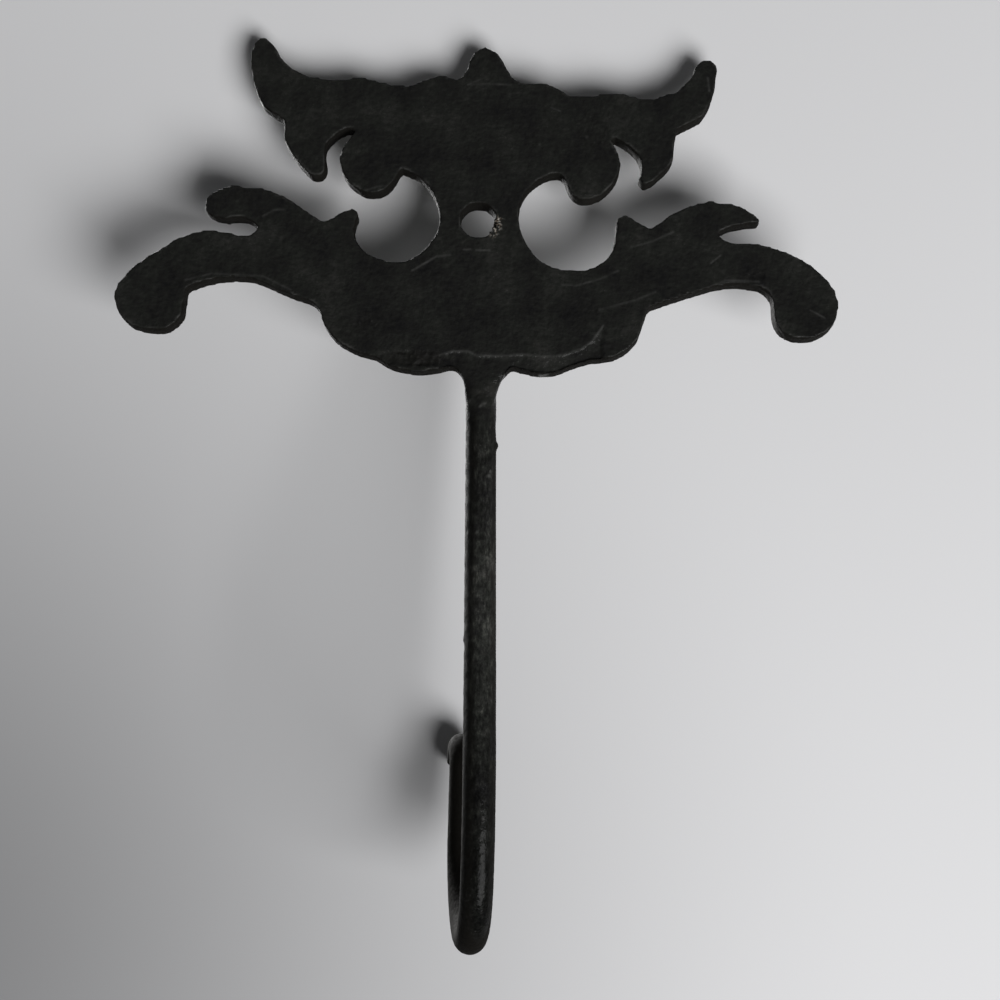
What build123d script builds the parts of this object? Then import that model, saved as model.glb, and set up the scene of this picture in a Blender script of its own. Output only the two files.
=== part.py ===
from build123d import *
import os
from math import cos, radians, sin

# A cast-iron wall hook: an ornamental scroll plate, flat at the back, with one screw hole,
# and a long round rod that bends forward into a hook with a curled tip.
# Millimetres. The origin is the centre of the screw hole on the wall face.
# +Z is up, +Y points into the wall, and -Y points out into the room.

# ---- driving dimensions ----
plate_thickness = 4.5      # of the plain plate, without its relief
screw_hole_diameter = 7.8
screw_seat_diameter = 13.0
screw_seat_rise = 0.8      # raised flat round the hole for the screw's head

rod_top_diameter = 6.5
bend_diameter = 6.9        # the rod thickens towards its bend
tip_diameter = 6.2
rod_offset = -0.85         # the rod hangs this far to the side of the screw hole
rod_lean = 0.27            # degrees that the rod leans to -X on its way down
rod_top = -28.0            # the rod's round section starts here, inside the plate
hook_bottom = -155.6       # underside of the hook
easing_radius = 90.0       # gentle start of the bend, on the rod's centre line
easing_angle = 17.0
bend_radius = 18.3         # the hook's bend, on the rod's centre line
arm_lean = 0.5             # degrees that the rising arm leans back to the wall
curl_height = -115.7       # centre of the tip's curl
curl_radius = 4.1          # on the centre line
curl_angle = 184.0
tip_round = 1.0            # eased end of the tip
hook_twist = 6.3           # degrees that the hook is turned about the rod
stem_length = 20.0         # the rod's root runs up the front as a stem and sinks into the plate
stem_tip_diameter = 1.6

# ---- relief on the front of the plate ----
ridge_root = 1.0           # a ridge starts this deep inside the plate
ridge_root_width = 1.15    # its width there, and along its top, as shares of its named width
ridge_top_width = 0.35
button_top_width = 0.5

# each ridge: points along its middle (x, z), its width and how far it stands proud
ridges = [
    # C-scrolls along the arms, winding up in the volutes
    ([(9, -22), (20, -18), (32, -12), (44, -8.6), (56, -7.6), (66, -9.6), (72.6, -13.6), (74.2, -18),
      (71.8, -21.6), (67.8, -21.2), (66.2, -18.6)], 4.2, 1.9),
    ([(-11, -22), (-22, -19), (-34, -13.6), (-45, -10.4), (-56, -9.4), (-66, -11.4), (-72.4, -15.2),
      (-74, -19.4), (-71.4, -22.8), (-67.4, -22.4), (-66, -19.6)], 4.2, 1.9),
    # midribs of the leaves on the arms
    ([(28, -6), (41.2, 1.0), (55.5, 3.6)], 3.6, 1.5),
    ([(-30, -7.6), (-43.6, -0.4), (-58, 0.6)], 3.6, 1.5),
    # the bumps beside the openings
    ([(33, -8), (29.4, -3.6), (27.6, 1.2)], 3.0, 1.3),
    ([(-35.4, -9), (-32.2, -4.6), (-30.8, 0.2)], 3.0, 1.3),
    # lobes of the belly
    ([(3, -13), (8.4, -22), (13, -32)], 6.0, 1.7),
    ([(-5, -13), (-10.4, -22), (-15, -32.4)], 6.0, 1.7),
    ([(10, -13.6), (20, -20), (29, -27)], 6.0, 1.7),
    ([(-12, -14.6), (-22, -21), (-30.6, -28.6)], 6.0, 1.7),
    # C-scrolls of the crest, winding down into the hanging lobes
    ([(3.4, 20), (8, 26), (15, 28), (22, 25.6), (27, 20), (27.4, 13), (23.4, 8.8), (19.6, 10.6),
      (19.6, 14)], 3.8, 1.8),
    ([(-5.6, 20), (-10, 25), (-16.6, 26.2), (-23, 23.6), (-27.8, 18.4), (-28.2, 12), (-24.4, 7.8),
      (-20.6, 9.4), (-20.6, 12.8)], 3.8, 1.8),
    # ribs of the horns and the claws
    ([(27, 28), (40.8, 30.6), (48.2, 41)], 3.8, 1.6),
    ([(-27, 25.8), (-41.2, 25.2), (-50, 36.4)], 3.8, 1.6),
    ([(34, 27), (38.3, 19), (35.6, 11)], 3.8, 1.6),
    ([(-33, 24.6), (-38.9, 17.4), (-36.4, 9.6)], 3.8, 1.6),
    # the finial, and the two lower leaves of its palmette
    ([(-1, 12), (-1.1, 25), (-1.1, 38.6)], 5.4, 2.0),
    ([(0.4, 11), (5.4, 17), (12.6, 18.6)], 4.6, 1.5),
    ([(-2.4, 11), (-7.6, 16.2), (-14.6, 17)], 4.6, 1.5),
]
# each button, in the eye of a scroll: its centre (x, z), its diameter and how far it stands proud
buttons = [
    ((70.2, -17.4), 4.8, 2.1),
    ((-70, -18.8), 4.8, 2.1),
    ((23.6, 13.4), 4.0, 1.9),
    ((-24.4, 12.2), 4.0, 1.9),
]

# ---- outline of the plate, seen from the room side with X to the right ----
# Each stretch starts where the last one ends, and is a chain of arcs, each through three points.
outline_stretches = [
    # over the top, from the horn at +X to the horn at -X
    [(48.0, 42.2), (46.2, 41.0), (44.1, 37.8), (41.3, 34.9), (37.5, 32.8), (33.3, 32.2)],
    [(33.3, 32.2), (30.5, 32.4), (24.8, 32.5), (20.0, 31.3), (15.8, 30.7)],
    [(15.8, 30.7), (13.3, 31.7), (9.3, 33.2), (7.0, 33.0), (5.3, 32.3), (4.0, 32.9)],
    [(4.0, 32.9), (3.0, 34.4), (2.2, 37.1), (0.6, 39.3), (-1.1, 40.0), (-3.2, 39.0), (-5.0, 36.9),
     (-6.2, 34.5), (-8.3, 32.0)],
    [(-8.3, 32.0), (-10.8, 31.5), (-13.3, 31.9), (-16.8, 30.6), (-19.6, 28.7)],
    [(-19.6, 28.7), (-22.6, 28.5), (-27.0, 29.3), (-32.8, 28.9), (-35.2, 28.2), (-38.4, 28.0)],
    [(-38.4, 28.0), (-40.6, 29.1), (-43.0, 29.6), (-45.4, 32.1), (-47.0, 34.0), (-48.4, 36.9),
     (-49.8, 37.4)],
    # the horn and the claw below it, at -X
    [(-49.8, 37.4), (-51.3, 36.8), (-51.9, 33.8), (-51.4, 29.8), (-50.2, 26.3), (-48.7, 24.0)],
    [(-48.7, 24.0), (-46.8, 22.9), (-43.0, 21.0)],
    [(-43.0, 21.0), (-42.6, 18.0), (-42.2, 14.0), (-40.7, 11.8), (-38.8, 10.1), (-37.0, 8.7),
     (-35.6, 8.4), (-34.7, 9.6)],
    [(-34.7, 9.6), (-35.3, 12.0), (-34.7, 14.8), (-32.6, 17.1), (-30.2, 18.7), (-28.0, 19.8)],
    # the hanging lobe and the round opening
    [(-28.0, 19.8), (-29.7, 16.9), (-30.8, 13.2), (-30.3, 10.6), (-28.4, 7.6), (-25.5, 5.3),
     (-22.6, 4.6), (-20.4, 5.8), (-19.2, 8.2), (-18.1, 10.5)],
    [(-18.1, 10.5), (-16.0, 10.5), (-13.0, 9.1), (-10.3, 6.6), (-8.8, 2.8), (-9.0, -1.6),
     (-11.0, -6.2), (-14.7, -9.8), (-20.0, -11.0), (-25.2, -10.3), (-28.7, -7.0), (-29.6, -3.0),
     (-29.7, 0.0)],
    # the bump, the leaf and its slot
    [(-29.7, 0.0), (-31.0, 1.1), (-33.5, 0.4), (-37.0, -1.8)],
    [(-37.0, -1.8), (-39.0, -0.4), (-42.0, 1.9), (-46.0, 3.6), (-50.2, 4.7), (-53.0, 4.0)],
    [(-53.0, 4.0), (-54.8, 4.0), (-58.0, 2.6), (-59.9, 1.2), (-61.0, -0.3)],
    [(-61.0, -0.3), (-56.5, -0.7), (-53.2, -1.6), (-51.3, -2.8)],
    # the arm and its scroll
    [(-51.3, -2.8), (-53.0, -4.1), (-58.0, -4.7), (-63.0, -5.7), (-68.0, -7.7), (-73.0, -11.0),
     (-76.4, -15.3), (-77.0, -19.0), (-75.6, -23.3), (-72.3, -25.5), (-68.5, -25.9), (-64.8, -24.4),
     (-63.3, -21.3), (-63.1, -17.6)],
    [(-63.1, -17.6), (-61.5, -15.3), (-58.5, -14.3), (-54.5, -14.1), (-50.0, -14.8), (-44.0, -16.7),
     (-36.5, -19.4)],
    # the scalloped belly, down to the neck of the rod
    [(-36.5, -19.4), (-35.6, -22.2), (-34.3, -26.1), (-31.8, -28.8), (-28.0, -30.6), (-24.2, -31.0)],
    [(-24.2, -31.0), (-21.0, -32.0), (-17.5, -33.5), (-14.3, -34.1), (-11.0, -33.6), (-7.3, -32.6)],
    # the neck, which runs out on the rod in a flat tongue
    [(-7.3, -32.6), (-6.1, -33.9), (-4.9, -36.0), (-4.2, -38.4), (-3.7, -40.6)],
    [(-3.7, -40.6), (-0.7, -42.8), (2.2, -40.8)],
    [(2.2, -40.8), (2.7, -39.0), (2.8, -37.4), (2.7, -36.6), (2.6, -35.9)],
    [(2.6, -35.9), (3.2, -34.4), (4.2, -33.1), (5.4, -32.5)],
    [(5.4, -32.5), (8.5, -33.3), (12.2, -33.8), (16.0, -33.3), (18.8, -32.4), (21.8, -30.5)],
    [(21.8, -30.5), (24.5, -29.9), (28.5, -28.1), (31.5, -25.3), (33.2, -22.3), (34.6, -19.2),
     (36.2, -18.2)],
    # the arm and its scroll, at +X
    [(36.2, -18.2), (40.0, -16.9), (44.0, -15.2), (48.0, -13.6), (52.5, -13.1), (57.0, -13.7),
     (62.5, -15.6)],
    [(62.5, -15.6), (62.7, -18.5), (62.9, -21.3), (64.4, -23.4), (67.1, -25.0)],
    [(67.1, -25.0), (70.0, -24.9), (73.0, -24.3), (75.5, -22.6), (77.1, -20.0), (77.6, -17.5),
     (76.9, -14.5), (74.9, -12.1), (71.0, -8.6), (66.8, -6.0), (64.8, -4.5)],
    [(64.8, -4.5), (63.3, -4.1), (61.0, -3.0), (56.8, -2.8), (53.0, -3.3), (48.7, -3.3),
     (47.4, -2.0)],
    # the leaf, the bump and the round opening
    [(47.4, -2.0), (48.8, -0.6), (52.5, 0.2), (57.5, 0.7), (58.8, 1.5)],
    [(58.8, 1.5), (59.1, 3.4), (57.3, 6.0), (54.8, 7.2), (51.0, 7.3), (47.7, 7.1)],
    [(47.7, 7.1), (43.5, 5.8), (39.5, 3.5), (36.2, 1.2), (33.5, -0.5), (31.5, 0.3)],
    [(31.5, 0.3), (29.2, 1.7), (27.1, 2.4), (26.1, 1.5), (26.3, 0.0)],
    [(26.3, 0.0), (26.8, -2.0), (26.2, -4.8), (24.3, -7.2), (20.5, -9.0), (15.5, -9.2),
     (11.5, -6.4), (8.7, -2.0), (8.5, 1.8), (10.2, 6.6), (13.2, 10.0), (16.9, 11.6)],
    # the hanging lobe, the claw and the horn
    [(16.9, 11.6), (18.6, 8.6), (20.5, 6.7), (23.3, 5.9), (26.3, 7.0), (28.8, 9.3), (30.2, 12.8),
     (29.9, 15.8), (28.3, 18.4), (26.5, 20.8)],
    [(26.5, 20.8), (29.0, 20.6), (31.8, 18.8), (33.3, 16.8), (33.3, 13.5), (33.2, 11.8),
     (34.2, 10.0), (35.3, 9.7), (36.8, 10.4), (39.5, 13.3), (41.4, 16.2), (42.6, 18.6)],
    [(42.6, 18.6), (42.6, 22.8)],
    [(42.6, 22.8), (44.8, 24.2), (47.2, 25.9)],
    [(47.2, 25.9), (48.8, 29.1), (49.9, 33.2), (50.4, 37.0), (49.9, 40.2), (48.0, 42.2)],
]


def stretch(points):
    """One stretch of the outline: arcs, each through three points, and a line for a pair left over."""
    edges = []
    for first in range(0, len(points) - 1, 2):
        run = points[first:first + 3]
        edges.append(Line(*run) if len(run) == 2 else ThreePointArc(*run))
    return edges


def plate_face():
    """The plate's outline as a flat face, with Y up."""
    return make_face(Wire([piece.edge() for points in outline_stretches for piece in stretch(points)]))


def plate():
    """The flat-backed scroll plate."""
    return extrude(Plane.XZ * plate_face(), amount=plate_thickness)


def band(points, width, inset=0.0):
    """A flat strip along the points, pointed at both ends, which are drawn in by the inset."""
    middle = [Vector(*point) for point in points]
    left, right = [], []
    for before, point, after in zip(middle, middle[1:], middle[2:]):
        across = (after - before).normalized().rotate(Axis.Z, 90) * (width / 2)
        left.append(point + across)
        right.append(point - across)
    start = middle[0] + (middle[1] - middle[0]).normalized() * inset
    end = middle[-1] + (middle[-2] - middle[-1]).normalized() * inset
    edges = stretch([start, *left, end]) + stretch([end, *reversed(right), start])
    return make_face(Wire([piece.edge() for piece in edges]))


def ridge(points, width, rise):
    """A raised rib with sloping sides, rooted inside the plate."""
    root = Plane.XZ.offset(plate_thickness - ridge_root) * band(points, width * ridge_root_width)
    top = Plane.XZ.offset(plate_thickness + rise) * band(points, width * ridge_top_width, width / 2)
    return loft([root, top], ruled=True)


def button(centre, diameter, rise):
    """A round boss with sloping sides, rooted inside the plate."""
    place = Pos(*centre)
    root = Plane.XZ.offset(plate_thickness - ridge_root) * place * Circle(diameter / 2)
    top = Plane.XZ.offset(plate_thickness + rise) * place * Circle(diameter / 2 * button_top_width)
    return loft([root, top])


def relief():
    """All the ridges and buttons, none of them past the edge of the plate."""
    pieces = [ridge(*sizes) for sizes in ridges] + [button(*sizes) for sizes in buttons]
    highest = max(sizes[-1] for sizes in ridges + buttons)
    room = extrude(Plane.XZ.offset(plate_thickness - ridge_root) * plate_face(), ridge_root + highest)
    return (pieces[0] + pieces[1:]) & room


def bar(start, end, start_diameter, end_diameter):
    """A straight length of round rod between two points on a path."""
    along = end - start
    return loft([Plane(start, z_dir=along) * Circle(start_diameter / 2),
                 Plane(end, z_dir=along) * Circle(end_diameter / 2)])


def bent_bar(arc, diameter):
    """A bent length of round rod."""
    return sweep(Plane(arc @ 0, z_dir=arc % 0) * Circle(diameter / 2), path=arc)


def hook():
    """The stem and the rod, down through the bend to the end of the curled tip."""
    radius = bend_diameter / 2
    lean = radians(arm_lean)
    bend_start = hook_bottom + radius + bend_radius * (1 - sin(radians(easing_angle)))
    straight_end = bend_start + easing_radius * sin(radians(easing_angle))
    arm_end = curl_height - curl_radius * sin(lean)

    # the centre line, with X out from the wall and Y up
    rod = Line((0, rod_top), (0, straight_end))
    easing = JernArc(rod @ 1, rod % 1, easing_radius, easing_angle)
    bend = JernArc(easing @ 1, easing % 1, bend_radius, 180 - easing_angle + arm_lean)
    arm = Line(bend @ 1, bend @ 1 + bend % 1 * ((arm_end - (bend @ 1).Y) / cos(lean)))
    curl = JernArc(arm @ 1, arm % 1, curl_radius, -curl_angle)

    tip = bent_bar(curl, tip_diameter)
    tip = fillet(tip.faces().filter_by(GeomType.PLANE).sort_by_distance(curl @ 1)[0].edges(), tip_round)
    stem_top = rod @ 0 + Vector(0, stem_length)
    pieces = [bar(stem_top, rod @ 0, stem_tip_diameter, rod_top_diameter),
              bar(rod @ 0, rod @ 1, rod_top_diameter, bend_diameter),
              bent_bar(easing, bend_diameter),
              bent_bar(bend, bend_diameter),
              bar(arm @ 0, arm @ 1, bend_diameter, tip_diameter),
              tip]
    upright = Plane((rod_offset, -radius, 0), x_dir=(0, -1, 0), z_dir=(-1, 0, 0))
    twisted = upright * Rot(0, hook_twist, 0) * (pieces[0] + pieces[1:])
    return Pos(0, 0, rod_top) * Rot(0, rod_lean, 0) * Pos(0, 0, -rod_top) * twisted


def wall_hook():
    """The whole casting."""
    seat = extrude(Plane.XZ * Circle(screw_seat_diameter / 2), amount=plate_thickness + screw_seat_rise)
    body = plate() + [relief(), seat, hook()]
    return body - extrude(Plane.XZ * Circle(screw_hole_diameter / 2), amount=2 * plate_thickness)


if __name__ == "__main__":
    os.makedirs("parts", exist_ok=True)
    casting = wall_hook()
    casting.label = "wall_hook"
    export_step(casting, "parts/wall_hook.step")
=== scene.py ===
from math import cos, radians, sin

import bmesh
import bpy
import numpy as np
from mathutils import Matrix, Vector, noise


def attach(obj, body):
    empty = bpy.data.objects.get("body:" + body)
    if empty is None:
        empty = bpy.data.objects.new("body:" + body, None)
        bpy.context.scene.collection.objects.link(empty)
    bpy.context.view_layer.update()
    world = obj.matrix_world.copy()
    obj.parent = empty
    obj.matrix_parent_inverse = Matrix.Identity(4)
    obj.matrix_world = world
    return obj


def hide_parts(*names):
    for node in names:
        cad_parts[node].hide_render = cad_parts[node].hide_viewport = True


# A cast-iron wall hook lying face down on a pale table, with its flat back to the camera.
# Metres, in the part's own frame: +Z up as hung, +Y into the wall, origin in the screw hole.

MM = 0.001

# ---- the table: the hook leans on its tip and on its crest ----
TABLE_TILT = 17.31           # degrees between the plate's back and the table
TABLE_TOUCH = (-6.1, 39.2)   # y and z of the line where the crest rests, in mm
TABLE_END = 265.0            # mm from that line to the table's near end
TABLE_REACH = 1.0            # metres from that line to its other ends
PAINTED_SHADOW_CORNER = (159.0, -66.0, -165.0)   # a painted shadow darkens the table's paint most at this corner, in mm
PAINTED_SHADOW_REACH = 265.0                     # and the painted shadow fades out to the plain pale paint this far away

# ---- camera ----
CAMERA_TILT = 10.0           # degrees
CAMERA_ROLL = 0.4
CAMERA_AWAY = 310.0          # mm
CAMERA_ACROSS = -4.676       # mm
CAMERA_ALONG = 61.357        # mm
LENS = 53.57                 # mm, on a 36 mm sensor

# ---- light ----
ROOM_LIGHT = 0.07
ROOM_COLOUR = (0.8, 0.81, 0.83, 1)
BACKDROP_LIGHT = 0.85
DIM_WAY = (0, 0.75, -0.66)   # the metal mirrors a dim room this way
DIM_SIDE = 0.07              # and that room's strength there
PALE_SIDE = 0.6              # its strength the other way
WINDOW = (1.3, 0.8, 19.6)         # metres from the hook, metres across, and watts
FRONT_FILL = (0.5, 26.0)          # metres across, and watts
FRONT_FILL_AWAY = (0.45, -0.65, 0.45)

# ---- metal ----
SHINE = 0.05                 # the specular level of the black
LUMP_HEIGHT = 0.36           # mm, of the fine lumps in its skin
PALE_IRON = (0.075, 0.075, 0.072, 1)
# the colour of the painted shade on the walls, on the rod's two sides and on the hook's front arm
PAINTED_SHADE = (0.0060, 0.0054, 0.0044, 1)

# ---- casting ----
VOXEL = 0.57                 # mm
SMOOTHING = 4                # passes
NECK_PASSES = 45
EDGE_WEAR = 0.5
CRUST_HEIGHT = 0.55          # mm
STRIP_DROP = 0.75            # mm, at most, of the strip below the mould line
# the casting's gentle swell: the size of its lumps and their height, in mm
swell_lumps = [(7.5, 0.06), (2.6, 0.035)]
grit_size = 0.85
grit_height = 0.075
smooth_grit_height = 0.025   # on the back and on the rod

# the rod where it leaves the plate: its axis (x, y) and its radius
rod_axis = (-0.9, -3.45)
rod_radius = 3.25

# the line where the mould's halves met, across the foot of the belly
mould_line = [(8, -30), (5, -29.3), (2, -29.3), (0, -30.2), (-4, -30.3), (-10, -29.9), (-14, -30.3),
              (-18, -30.1), (-22, -28.7), (-24.5, -26.8), (-26.8, -23.5)]
# marks on the back: points along each (x, z), its width, how far it stands proud and how pale it is
marks = [
    (mould_line, 0.5, 0.16, 0.55),
    ([(-26, -20), (-34, -17.7), (-38, -16)], 0.5, 0.12, 0.35),
    # lips along the edges of the arms
    ([(-38, -19), (-46, -16.3), (-50, -14.7), (-53, -13.3), (-60, -13.5)], 0.6, 0.12, 0.5),
    ([(62.5, -14), (57, -12.5), (46, -13), (40, -16)], 0.5, 0.1, 0.35),
    # folds of the palmette and the leaves
    ([(2.5, 31), (-3, 31.2), (-7, 31)], 0.5, -0.12, 0.3),
    ([(2.5, 31), (0, 32.2)], 0.4, -0.1, 0.3),
    ([(-33, -6), (-37.6, -4.6), (-42, -2.5)], 0.5, 0.12, 0.35),
    ([(46.5, 0.5), (44, 1.9), (42, 2)], 0.5, 0.12, 0.4),
    ([(25, 6.3), (21.6, 7.4), (18.5, 7.6)], 0.45, 0.1, 0.35),
    ([(-18, -14.5), (-21, -14.7), (-26, -13.2), (-30, -11.3)], 0.5, 0.1, 0.4),
    # knocks and scratches
    ([(3, -6.8), (1.6, -6.7)], 0.5, 0.12, 0.6),
    ([(0.4, -6.9), (-2.5, -6.9)], 0.45, 0.12, 0.8),
    ([(6, -8), (9, -8.4), (14, -11.5)], 0.5, 0.12, 0.6),
    ([(-50, -9.5), (-52, -7.8)], 0.4, -0.12, 0.5),
    ([(-71, -19.8), (-74, -21.5)], 0.4, -0.12, 0.5),
    ([(-15.7, 25.8), (-17.7, 25)], 0.4, -0.12, 0.5),
    ([(-50, 33), (-50.3, 30)], 0.5, 0.1, 0.6),
]
# flaws in the rod's skin: place (x, y, z), width and how far each stands proud
rod_flaws = [
    (-4.15, -3.3, -49.1, 0.7, 0.55),
    (2.15, -3.4, -91.9, 0.7, -0.12),
    (2.25, -3.4, -90.2, 0.6, 0.25),
    (-0.6, 0, -81.6, 0.6, -0.3),
    (-0.8, 0, -94.4, 0.6, -0.3),
]
# specks where the black has gone: place (x, z) and width
pale_spots = [
    (-3.0, -55.9, 0.3), (-3.1, -55.0, 0.22), (-2.6, -56.2, 0.2), (-3.3, -57.0, 0.2),
    (-1.6, -40.6, 0.25), (-1.0, -41.2, 0.2), (1.5, -40.2, 0.25), (-0.4, -68.0, 0.2),
]
# crumbly rust in the screw hole: degrees up from -X to its middle, and half its width
screw_hole_radius = 3.9
crust_middle = -22
crust_width = 38
# rough patches on the back: middle (x, z), half width, half height and depth
rough_patches = [
    (13, -30.9, 9.0, 2.3, 0.4),
    (-25, 20.5, 4.0, 5.5, 0.1),
    (-59.5, -12, 2.4, 1.6, 0.2),
    (-0.8, -38.6, 3.4, 1.6, 0.2),
    (24, -24, 4.0, 3.0, 0.12),
    (-12, 18, 3.0, 2.0, 0.08),
]


def vector(x, y, z):
    return Vector((x, y, z)) * MM


def apply_modifiers(piece):
    """Turns a piece's modifiers into its mesh."""
    depsgraph = bpy.context.evaluated_depsgraph_get()
    mesh = bpy.data.meshes.new_from_object(piece.evaluated_get(depsgraph))
    piece.modifiers.clear()
    piece.data = mesh


# ---------------------------------------------------------------- materials
# A part of a material is a (node, output) pair.

def new_material(name):
    material = bpy.data.materials.new(name)
    material.use_nodes = True
    tree = material.node_tree
    tree.nodes.clear()
    return material, tree


def node(tree, kind, **values):
    made = tree.nodes.new(kind)
    for key, value in values.items():
        if hasattr(made, key):
            setattr(made, key, value)
        else:
            made.inputs[key].default_value = value
    return made


def fill(tree, part, target, socket):
    """Links a part to a socket, or writes a plain value in it."""
    if isinstance(part, tuple) and len(part) == 2:
        tree.links.new(part[0].outputs[part[1]], target.inputs[socket])
    else:
        target.inputs[socket].default_value = part


def grained(tree, place, lump, detail, roughness):
    """Noise with lumps of the given size in mm."""
    made = node(tree, "ShaderNodeTexNoise", Scale=1 / (lump * MM), Detail=detail, Roughness=roughness)
    fill(tree, place, made, "Vector")
    return made, "Fac"


def stretched(tree, place, scale, turn=(0, 0, 0)):
    """Draws a pattern out where the scale is less than 1."""
    made = node(tree, "ShaderNodeMapping", Scale=scale, Rotation=turn)
    fill(tree, place, made, "Vector")
    return made, "Vector"


def painted(tree, name):
    """A value kept at each place of the piece."""
    return node(tree, "ShaderNodeAttribute", attribute_name=name), "Fac"


def ramp(tree, share, stops):
    """A colour ramp with a stop for each (position, colour)."""
    made = node(tree, "ShaderNodeValToRGB")
    elements = made.color_ramp.elements
    while len(elements) < len(stops):
        elements.new(0.5)
    for element, (position, colour) in zip(elements, stops):
        element.position = position
        element.color = (*colour, 1)
    fill(tree, share, made, "Fac")
    return made, "Color"


def shades(*stops):
    """Grey stops for a ramp, each a (position, strength)."""
    return [(position, (strength,) * 3) for position, strength in stops]


def remap(tree, value, limits, results, run="LINEAR"):
    """Takes a value between two limits to its match between two results."""
    made = node(tree, "ShaderNodeMapRange", interpolation_type=run)
    fill(tree, value, made, "Value")
    for socket, number in zip(("From Min", "From Max", "To Min", "To Max"), (*limits, *results)):
        fill(tree, number, made, socket)
    return made, "Result"


def maths(tree, operation, *parts):
    made = node(tree, "ShaderNodeMath", operation=operation)
    for socket, part in enumerate(parts):
        fill(tree, part, made, socket)
    return made, "Value"


def mixed(tree, share, first, second, blend="MIX"):
    """Mixes two colours."""
    made = node(tree, "ShaderNodeMix", data_type="RGBA", blend_type=blend)
    for socket, part in ((0, share), (6, first), (7, second)):
        fill(tree, part, made, socket)
    return made, 2


def black_coat(tree, place, height, patches):
    """The black itself: mottled, paler half way down the rod and darker towards its foot, and flecked along
    it.
    """
    mottle = grained(tree, place, 1.5, 4.0, 0.65)
    streaks = grained(tree, stretched(tree, place, (0.5, 1, 1), (0, 0.5, 0)), 0.8, 3.0, 0.6)
    tone = maths(tree, "MULTIPLY_ADD", maths(tree, "ADD", mottle, streaks), 0.25,
                 maths(tree, "MULTIPLY", patches, 0.5))
    coat = ramp(tree, tone, [
        (0.38, (0.0096, 0.0096, 0.0098)), (0.46, (0.0134, 0.0134, 0.0127)),
        (0.53, (0.0166, 0.0174, 0.0156)), (0.66, (0.0290, 0.0286, 0.0268))])

    # darker towards the hook's foot and paler half way down the rod
    up_the_hook = remap(tree, height, (-0.16, -0.04), (0.0, 1.0))
    tone_by_height = ramp(tree, up_the_hook, shades((0.0, 0.25), (0.22, 0.45), (0.42, 1.1), (0.62, 2.0), (0.95, 1.0)))
    coat = mixed(tree, 1.0, coat, tone_by_height, "MULTIPLY")

    flecks = grained(tree, stretched(tree, place, (1, 1, 0.4)), 0.9, 4.0, 0.75)
    fleck_shade = ramp(tree, flecks, [
        *shades((0.40, 0.35), (0.50, 0.8), (0.58, 1.25)), (0.68, (2.8, 2.8, 2.65))])
    on_rod = remap(tree, height, (-0.04, -0.05), (0.0, 0.85))
    return mixed(tree, on_rod, coat, fleck_shade, "MULTIPLY")


def blackened_iron():
    """Satin black over cast iron: mottled and flecked, with worn edges and rust, and painted shade darkening
    its walls, the rod's sides and the hook's front.
    """
    material, tree = new_material("blackened_iron")
    place = (node(tree, "ShaderNodeTexCoord"), "Object")
    apart = node(tree, "ShaderNodeSeparateXYZ")
    fill(tree, place, apart, "Vector")
    height = (apart, "Z")
    patches = grained(tree, place, 9.0, 3.0, 0.5)
    grain = grained(tree, place, 0.5, 2.0, 0.6)
    # how much painted shade, and extra roughness, lies at each place
    painted_shade_and_roughness = painted(tree, "painted_shade_and_roughness")

    coat = black_coat(tree, place, height, patches)
    thin = maths(tree, "ADD", grain, maths(tree, "MULTIPLY", patches, 0.5))
    chips = remap(tree, thin, (0.96, 1.02), (0.0, 0.32), "SMOOTHSTEP")
    worn = mixed(tree, maths(tree, "MAXIMUM", chips, painted(tree, "wear")), coat, PALE_IRON)
    rust_colour = ramp(tree, grained(tree, place, 0.6, 2.0, 0.6), [
        (0.38, (0.012, 0.008, 0.006)), (0.49, (0.15, 0.12, 0.09)), (0.62, (0.46, 0.45, 0.42))])
    rusted = mixed(tree, painted(tree, "rust"), worn, rust_colour)
    # painted shade: the colour is darkened towards the shade colour where that kept value is high
    shaded = mixed(tree, maths(tree, "MULTIPLY", painted_shade_and_roughness, 0.6), rusted, PAINTED_SHADE)

    polish = remap(tree, grain, (0.38, 0.6), (0.12, 0.3))
    roughness = maths(tree, "MULTIPLY_ADD", painted_shade_and_roughness, 0.45, polish)

    lumps = grained(tree, place, 1.3, 2.0, 0.5)
    off_rod = remap(tree, height, (-0.05, -0.035), (0.4, 1.0))
    bump = node(tree, "ShaderNodeBump", Strength=1.0, Distance=LUMP_HEIGHT * MM)
    fill(tree, maths(tree, "MULTIPLY", lumps, off_rod), bump, "Height")

    shader = node(tree, "ShaderNodeBsdfPrincipled")
    shader.inputs["Specular IOR Level"].default_value = SHINE
    fill(tree, shaded, shader, "Base Color")
    fill(tree, roughness, shader, "Roughness")
    fill(tree, (bump, "Normal"), shader, "Normal")
    end = node(tree, "ShaderNodeOutputMaterial")
    fill(tree, (shader, "BSDF"), end, "Surface")
    return material


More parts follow.
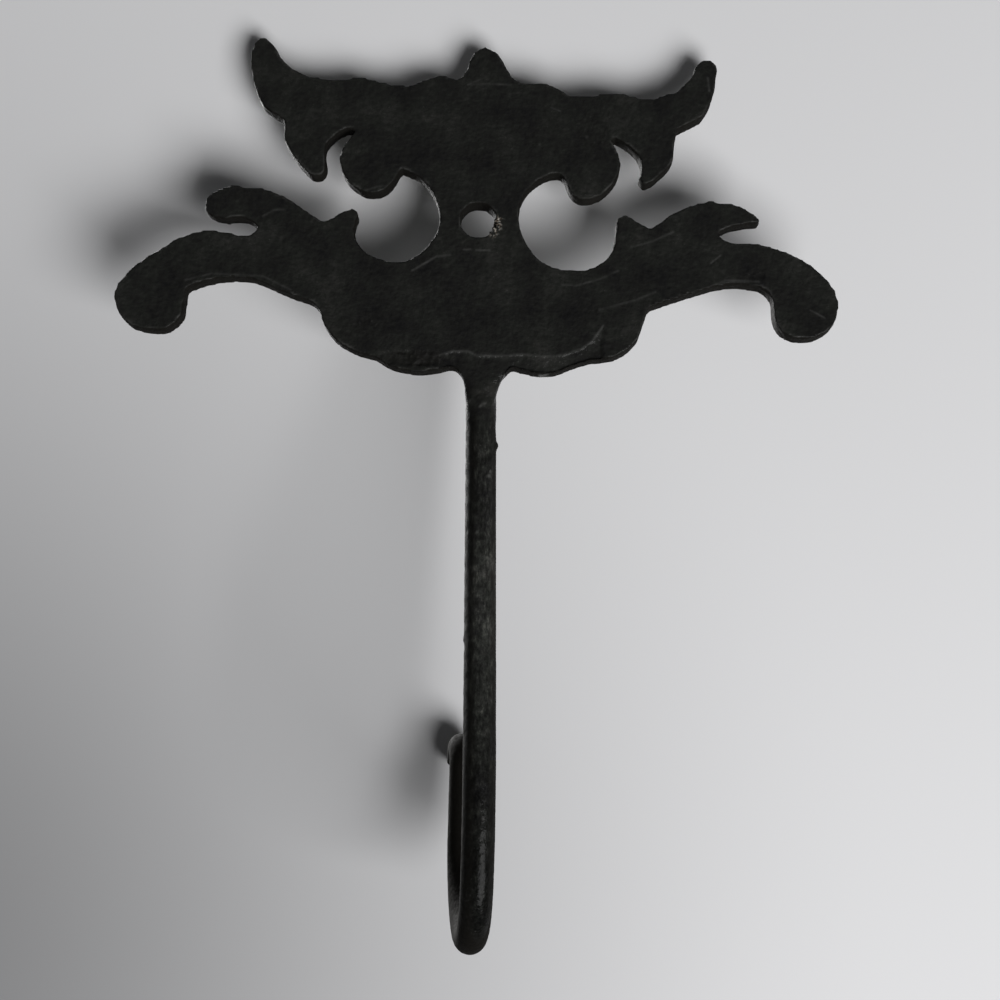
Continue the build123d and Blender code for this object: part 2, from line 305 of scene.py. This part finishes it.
def table_paint():
    """Pale paint that shows from above only, so that it doesn't hide the hook from below, with a painted
    shadow darkening it towards one corner.
    """
    material, tree = new_material("table_paint")
    # painted shadow: the paint goes from dark grey near one corner of the table to its plain pale colour
    # further away
    corner = node(tree, "ShaderNodeVectorMath", operation="DISTANCE")
    fill(tree, (node(tree, "ShaderNodeTexCoord"), "Object"), corner, 0)
    corner.inputs[1].default_value = vector(*PAINTED_SHADOW_CORNER)
    fade = remap(tree, (corner, "Value"), (0.0, PAINTED_SHADOW_REACH * MM), (0.0, 1.0), "SMOOTHSTEP")
    shader = node(tree, "ShaderNodeBsdfPrincipled")
    shader.inputs["Roughness"].default_value = 0.75
    shader.inputs["Specular IOR Level"].default_value = 0.2
    paint = ramp(tree, fade, [(0.0, (0.25, 0.25, 0.255)), (1.0, (0.72, 0.72, 0.73))])
    fill(tree, paint, shader, "Base Color")
    mix = node(tree, "ShaderNodeMixShader")
    fill(tree, (node(tree, "ShaderNodeNewGeometry"), "Backfacing"), mix, 0)
    fill(tree, (shader, "BSDF"), mix, 1)
    fill(tree, (node(tree, "ShaderNodeBsdfTransparent"), "BSDF"), mix, 2)
    end = node(tree, "ShaderNodeOutputMaterial")
    fill(tree, (mix, "Shader"), end, "Surface")
    return material


# ---------------------------------------------------------------- the casting

def near_path(places, points):
    """Each place's distance in x and z from a path of points, all in mm."""
    nearest = np.full(len(places), 1e9)
    flat = places[:, [0, 2]]
    for start, end in zip(np.array(points[:-1], float), np.array(points[1:], float)):
        along = end - start
        share = np.clip((flat - start) @ along / (along @ along), 0, 1)
        nearest = np.minimum(nearest, np.linalg.norm(flat - start - share[:, None] * along, axis=1))
    return nearest


def smooth_step(value, low, high):
    share = np.clip((value - low) / (high - low), 0, 1)      # runs down where high is the smaller
    return share * share * (3 - 2 * share)


def read_mesh(mesh):
    """Places in mm, normals, and the ends of the edges."""
    count = len(mesh.vertices)
    places, normals = np.empty(count * 3), np.empty(count * 3)
    ends = np.empty(len(mesh.edges) * 2, int)
    mesh.vertices.foreach_get("co", places)
    mesh.vertices.foreach_get("normal", normals)
    mesh.edges.foreach_get("vertices", ends)
    return places.reshape(-1, 3) / MM, normals.reshape(-1, 3), ends.reshape(-1, 2)


def write_places(mesh, places):
    mesh.vertices.foreach_set("co", (places * MM).ravel())
    mesh.update()


def middles(places, ends):
    """The middle of each place's neighbours."""
    count = len(places)
    first, second = ends[:, 0], ends[:, 1]
    number = np.bincount(first, minlength=count) + np.bincount(second, minlength=count)
    sums = [np.bincount(first, places[second, axis], count) + np.bincount(second, places[first, axis], count)
            for axis in range(3)]
    return np.stack(sums, 1) / number[:, None]


def relax(places, ends, passes, share):
    """Evens out steps: each pass is followed by one that gives the thickness back."""
    for _ in range(passes):
        for amount in (0.5, -0.52):
            places = places + (middles(places, ends) - places) * amount * share
    return places


def blend_neck(places, ends):
    """Melts the plate's tongue into the rod, and keeps the rod's thickness."""
    neck = smooth_step(places[:, 2], -47, -43) * (1 - smooth_step(places[:, 2], -37, -33.5))
    for _ in range(NECK_PASSES):
        places = places + (middles(places, ends) - places) * 0.5 * neck[:, None]
    from_axis = places[:, :2] - rod_axis
    thickness = np.linalg.norm(from_axis, axis=1)
    grown = np.maximum(rod_radius / np.maximum(thickness, 0.1), 1)
    share = (neck * (thickness < rod_radius))[:, None]
    places[:, :2] += from_axis * (grown[:, None] - 1) * share
    return places


def crumble(places, size):
    """Noise between about -1 and 1, with lumps of the given size in mm."""
    return np.array([noise.noise(Vector(place) / size) for place in places])


def finer(skin, chosen):
    """Splits the faces whose corners are all chosen into four."""
    mesh = bmesh.new()
    mesh.from_mesh(skin.data)
    mesh.verts.ensure_lookup_table()
    edges = [edge for edge in mesh.edges if chosen[edge.verts[0].index] and chosen[edge.verts[1].index]]
    bmesh.ops.subdivide_edges(mesh, edges=edges, cuts=1, use_grid_fill=True)
    mesh.to_mesh(skin.data)
    mesh.free()


def close_to_marks(places, normals):
    """The back's places that lie on a mark or in a rough patch."""
    chosen = np.zeros(len(places), bool)
    for points, width, height, pale in marks:
        chosen |= near_path(places, points) < width + 0.35
    for x, z, across, high, depth in rough_patches:
        chosen |= np.hypot((places[:, 0] - x) / across, (places[:, 2] - z) / high) < 1
    return chosen & (normals[:, 1] > 0.3) & (places[:, 1] > -2.5) | (crust(places) > 0)


def crust(places):
    """How much of the crumbly rust in the screw hole lies at each place."""
    from_axis = np.hypot(places[:, 0], places[:, 2])
    angle = np.degrees(np.arctan2(places[:, 2], -places[:, 0]))
    ring = smooth_step(from_axis, screw_hole_radius + 1.7, screw_hole_radius + 0.5)
    arc = smooth_step(np.abs(angle - crust_middle), crust_width, crust_width * 0.6)
    return ring * arc * (places[:, 1] > -4) * (from_axis < screw_hole_radius + 2)


def even_mesh(cad):
    """A copy of the solid in a fine and even mesh."""
    skin = bpy.data.objects.new("hook_casting", cad.data.copy())
    bpy.context.scene.collection.objects.link(skin)
    mesh = bmesh.new()
    mesh.from_mesh(skin.data)
    bmesh.ops.remove_doubles(mesh, verts=mesh.verts, dist=1e-6)
    mesh.to_mesh(skin.data)
    mesh.free()
    remesh = skin.modifiers.new("even_mesh", "REMESH")
    remesh.mode = "VOXEL"
    remesh.voxel_size = VOXEL * MM
    apply_modifiers(skin)
    return skin


def strip_below_mould_line(places, back):
    """How far the back drops below the mould line, and less so on the rod's neck."""
    line = np.array(mould_line[::-1], float)
    below = np.interp(places[:, 0], line[:, 0], line[:, 1], left=-99, right=-99) - places[:, 2]
    neck = 1 - smooth_step(np.abs(places[:, 0] + 0.8), 4, 7)
    drop = 0.1 * smooth_step(below, 0, 0.4) + np.clip(below, 0, 3.2) * 0.2
    return np.minimum(drop, STRIP_DROP - 0.5 * neck) * back * smooth_step(places[:, 2], -41, -35)


def keep(skin, name, values):
    """Keeps a value at each place of the skin, for its material."""
    kept = skin.data.attributes.new(name, "FLOAT", "POINT")
    kept.data.foreach_set("value", values)


def casting(cad):
    """The hook's skin, cast soft: the solid's own shape with eased edges, marks and rough patches."""
    skin = even_mesh(cad)
    places, normals, ends = read_mesh(skin.data)
    places = relax(places, ends, SMOOTHING, 1)
    places = blend_neck(places, ends)
    write_places(skin.data, places)
    for _ in range(2):
        places, normals, ends = read_mesh(skin.data)
        finer(skin, close_to_marks(places, normals))

    places, normals, ends = read_mesh(skin.data)
    back = smooth_step(normals[:, 1], 0.3, 0.7) * (places[:, 2] > -46) * (places[:, 1] > -2.5)
    on_rod = smooth_step(places[:, 2], -38, -46)
    swell = sum(crumble(places, size) * tall for size, tall in swell_lumps) * (1 - 0.75 * on_rod)
    grit = crumble(places, grit_size)
    rough = grit_height - (grit_height - smooth_grit_height) * np.maximum(back, on_rod)
    sink, wear, painted_shade_and_roughness, flaws = np.zeros((4, len(places)))
    for x, z, across, high, depth in rough_patches:
        inside = 1 - smooth_step(np.hypot((places[:, 0] - x) / across, (places[:, 2] - z) / high), 0.5, 1)
        sink -= depth * inside * back * (0.7 + 0.9 * crumble(places, 2.4) + 0.4 * crumble(places, 1.2))
        rough = rough + inside * back * 0.07
        wear += inside * back * smooth_step(grit, 0.3, 0.7) * 0.25
        # painted shade in the sunken patches, darker the deeper they lie, which also makes them rougher
        painted_shade_and_roughness += inside * back * depth * 1.8
    broken = 0.65 + 0.5 * crumble(places + 40, 2.2)
    for points, width, height, pale in marks:
        inside = np.exp(-(near_path(places, points) / (width / 2)) ** 2) * back
        sink += height * inside * broken
        wear += pale * inside * np.clip(broken, 0, 1) * 1.1
    for x, y, z, width, height in rod_flaws:
        flaws += height * np.exp(-(np.linalg.norm(places - (x, y, z), axis=1) / width) ** 2)
    for x, z, width in pale_spots:
        spot = np.hypot(places[:, 0] - x, places[:, 2] - z) / width
        wear += np.exp(-spot ** 2) * (normals[:, 1] > 0.1) * 1.2
    sink -= strip_below_mould_line(places, back)

    rusty = crust(places)
    lumps = smooth_step(crumble(places, 0.5) + 0.6 * crumble(places + 7, 0.9), -0.25, 0.45)
    places = places + normals * (swell + grit * rough + rusty * lumps * CRUST_HEIGHT + flaws)[:, None]
    places[:, 1] += sink
    corners = np.array(cad.bound_box) / MM
    places = np.clip(places, corners.min(0), corners.max(0))     # never outside the solid's own box
    write_places(skin.data, places)

    bulge = ((places - middles(places, ends)) * normals).sum(1)
    edge = smooth_step(bulge, 0.03, 0.09) * smooth_step(crumble(places + 90, 3.0), -0.1, 0.4)
    # painted shade: the walls, the rod's two sides and the hook's front arm are darkened in colour where they
    # lie in shade; the same value also makes them rougher
    walls = (1 - smooth_step(np.abs(normals[:, 1]), 0.5, 0.9)) * (places[:, 2] > -34)
    rod_sides = smooth_step(np.abs(places[:, 0] + 1.7), 0.9, 2.4) * on_rod
    hook_front = smooth_step(places[:, 1], -9, -14) * on_rod
    keep(skin, "wear", np.clip(wear + edge * EDGE_WEAR, 0, 1))
    keep(skin, "rust", rusty * smooth_step(lumps, 0.25, 0.7))
    keep(skin, "painted_shade_and_roughness", np.clip(walls * 1.4 + rod_sides + hook_front * 1.5 + painted_shade_and_roughness, 0, 1.5))
    for face in skin.data.polygons:
        face.use_smooth = True
    return skin


# ---------------------------------------------------------------- surroundings

def table():
    """A flat table under the hook, cut off just past the hook's foot."""
    normal = Vector((0, cos(radians(TABLE_TILT)), -sin(radians(TABLE_TILT))))
    along = Vector((0, sin(radians(TABLE_TILT)), cos(radians(TABLE_TILT))))
    touch = vector(0, *TABLE_TOUCH)
    made = bpy.data.meshes.new("table")
    mesh = bmesh.new()
    bmesh.ops.create_grid(mesh, x_segments=1, y_segments=1, size=TABLE_REACH)
    for vert in mesh.verts:
        vert.co.y = max(vert.co.y, -TABLE_END * MM)
    across = along.cross(normal)
    turn = Matrix((across, along, normal)).transposed().to_4x4()
    bmesh.ops.transform(mesh, matrix=Matrix.Translation(touch) @ turn, verts=mesh.verts)
    mesh.to_mesh(made)
    mesh.free()
    piece = bpy.data.objects.new("table", made)
    bpy.context.scene.collection.objects.link(piece)
    piece.visible_shadow = False
    return piece, normal, along


def lamp(name, place, target, size, power):
    light = bpy.data.lights.new(name, "AREA")
    light.shape = "SQUARE"
    light.size = size
    light.energy = power
    piece = bpy.data.objects.new(name, light)
    piece.location = place
    piece.rotation_mode = "QUATERNION"
    piece.rotation_quaternion = (place - target).to_track_quat("Z", "Y")
    bpy.context.scene.collection.objects.link(piece)


def room():
    """A pale backdrop; what the metal mirrors from above its back and from beyond the table's end is dim."""
    world = bpy.data.worlds.new("room")
    world.use_nodes = True
    tree = world.node_tree
    tree.nodes.clear()
    place = (node(tree, "ShaderNodeTexCoord"), "Generated")
    facing = node(tree, "ShaderNodeVectorMath", operation="DOT_PRODUCT")
    fill(tree, place, facing, 0)
    facing.inputs[1].default_value = DIM_WAY
    mirrored = remap(tree, (facing, "Value"), (0.35, -0.15), (DIM_SIDE, PALE_SIDE), "SMOOTHSTEP")
    ray = node(tree, "ShaderNodeLightPath")
    shiny = maths(tree, "MULTIPLY", (ray, "Is Glossy Ray"), mirrored)
    seen = maths(tree, "MAXIMUM", shiny, (ray, "Is Camera Ray"))
    seen = maths(tree, "MAXIMUM", seen, (ray, "Is Transmission Ray"))
    mix = node(tree, "ShaderNodeMixShader")
    fill(tree, seen, mix, 0)
    for socket, strength in ((1, ROOM_LIGHT), (2, BACKDROP_LIGHT)):
        light = node(tree, "ShaderNodeBackground", Color=ROOM_COLOUR, Strength=strength)
        fill(tree, (light, "Background"), mix, socket)
    end = node(tree, "ShaderNodeOutputWorld")
    fill(tree, (mix, "Shader"), end, "Surface")
    return world


def camera():
    """Looks at the hook's back from above, a little from its foot."""
    tilt, roll = radians(CAMERA_TILT), radians(CAMERA_ROLL)
    right = Vector((-cos(roll), 0, sin(roll)))
    up = Vector((sin(roll) * cos(tilt), sin(tilt), cos(roll) * cos(tilt)))
    ahead = Vector((sin(roll) * sin(tilt), -cos(tilt), cos(roll) * sin(tilt)))
    place = (right * -CAMERA_ACROSS - up * CAMERA_ALONG * cos(tilt)
             - ahead * (CAMERA_AWAY + CAMERA_ALONG * sin(tilt))) * MM
    data = bpy.data.cameras.new("camera")
    data.lens = LENS
    data.clip_start = 0.01
    piece = bpy.data.objects.new("camera", data)
    piece.matrix_world = Matrix.Translation(place) @ Matrix((right, up, -ahead)).transposed().to_4x4()
    bpy.context.scene.collection.objects.link(piece)
    bpy.context.scene.camera = piece


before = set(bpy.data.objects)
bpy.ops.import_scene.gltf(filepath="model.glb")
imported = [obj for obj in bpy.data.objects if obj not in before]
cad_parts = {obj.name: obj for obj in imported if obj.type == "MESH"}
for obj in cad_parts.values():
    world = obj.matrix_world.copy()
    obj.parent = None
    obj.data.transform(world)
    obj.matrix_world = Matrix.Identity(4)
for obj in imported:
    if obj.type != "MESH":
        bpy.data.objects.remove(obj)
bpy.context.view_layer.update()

iron = blackened_iron()
skin = casting(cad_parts["wall_hook"])
skin.data.materials.clear()
skin.data.materials.append(iron)
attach(skin, "root")
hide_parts("wall_hook")

floor, floor_up, floor_along = table()
floor.data.materials.append(table_paint())

middle = vector(0, -20, -60)
to_light = (Vector((-0.6, 0, 0)) - floor_along * 0.55 + floor_up).normalized()
lamp("window", middle + to_light * WINDOW[0], middle, *WINDOW[1:])
lamp("front_fill", middle + Vector(FRONT_FILL_AWAY), middle, *FRONT_FILL)

bpy.context.scene.world = room()

camera()
bpy.context.scene.view_settings.view_transform = "Standard"
